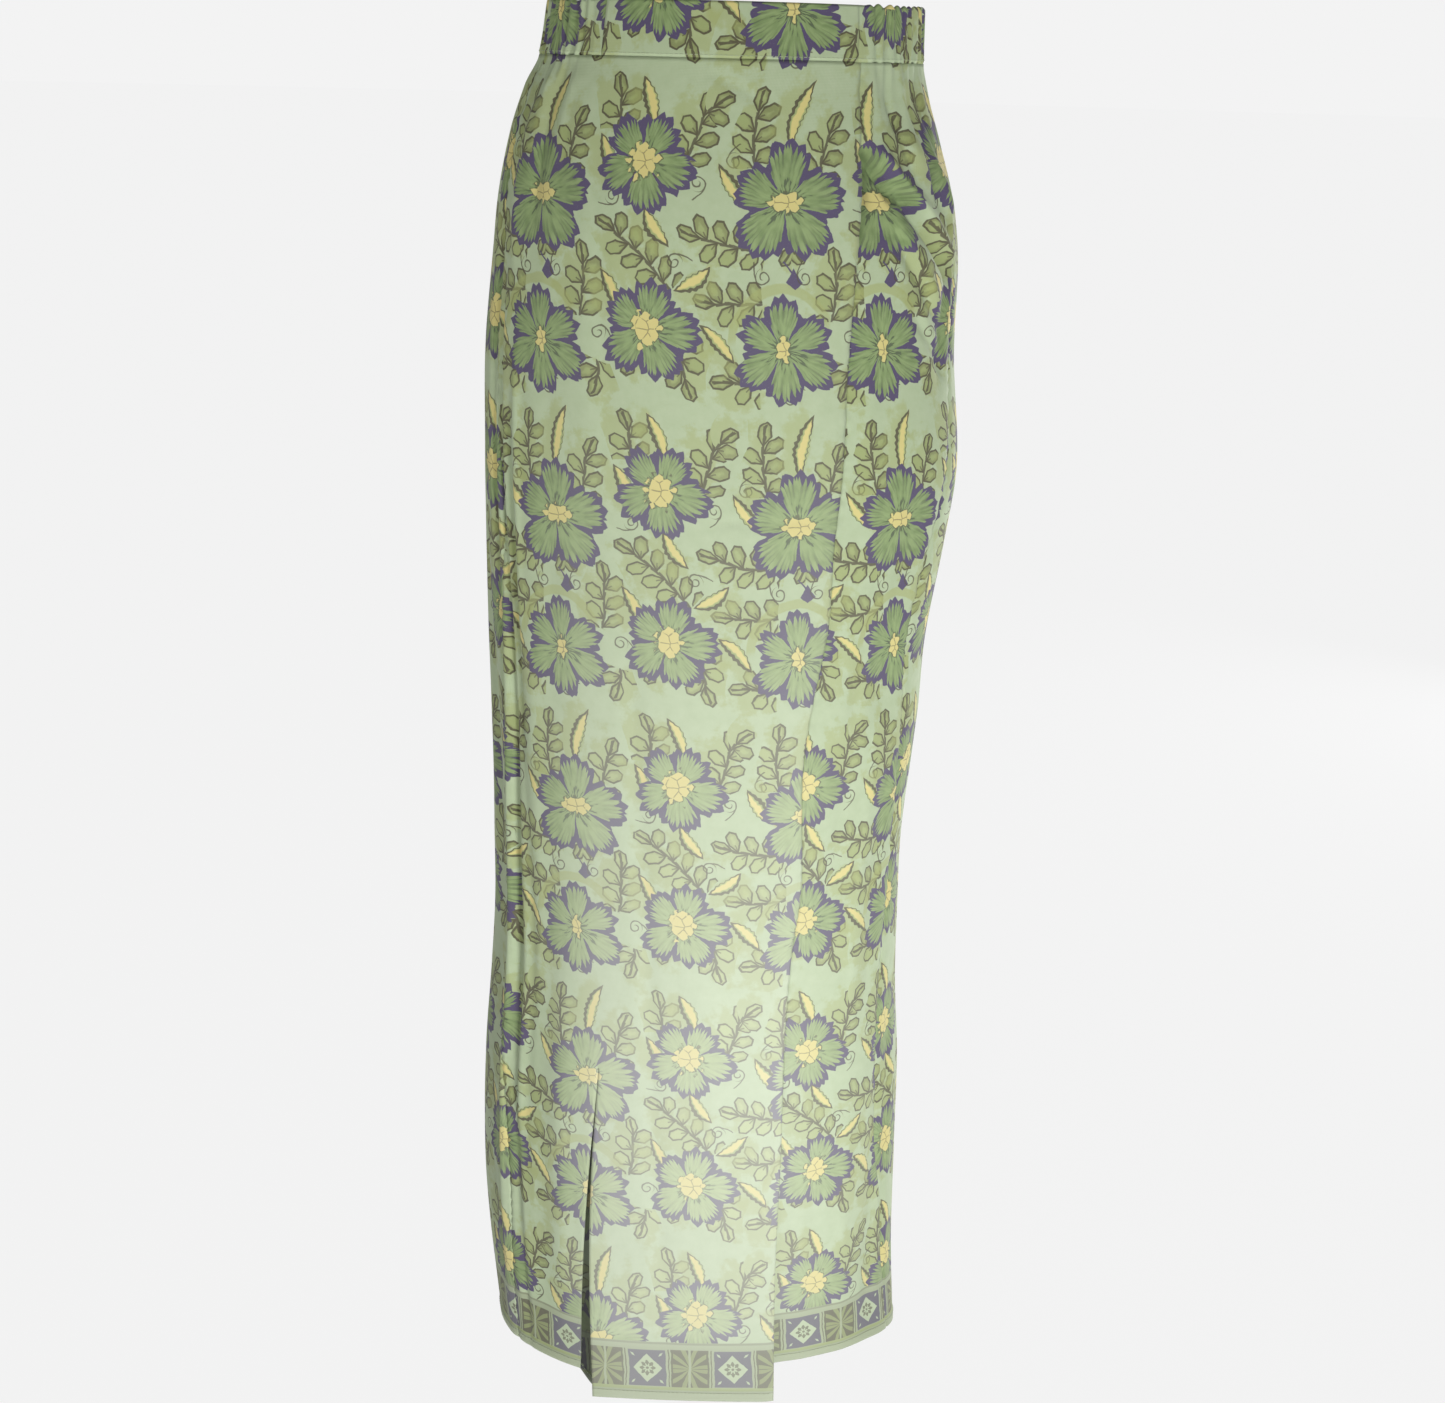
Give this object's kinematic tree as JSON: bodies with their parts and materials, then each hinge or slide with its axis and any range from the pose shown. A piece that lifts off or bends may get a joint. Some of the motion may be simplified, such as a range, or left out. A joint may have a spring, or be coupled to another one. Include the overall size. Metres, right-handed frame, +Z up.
{
  "type": "batik sarong skirt",
  "caption": "Long batik sarong skirt, worn and hollow, with a plain front waistband, elastic gathers behind, and a front flap between slits.",
  "frame": {"origin": "middle of the waistband ring, where the wearer's waist holds it", "axes": "+Z up along the body, -Y the front, +X on the right of someone who looks at the front"},
  "size_m": [0.3357, 0.2414, 1.0012],
  "materials": {
    "batik_cotton": "matt printed cotton, mint green with green and purple flowers",
    "batik_waistband": "the same printed cotton, doubled, gathered on elastic behind"
  },
  "bodies": {
    "root": {"waistband_front": "batik_waistband", "waistband_back": "batik_waistband", "front_panel": "batik_cotton", "side_front_panel": "batik_cotton", "back_panel_right": "batik_cotton", "back_panel_left": "batik_cotton", "slit_underlay": "batik_cotton"}
  },
  "joints": []
}
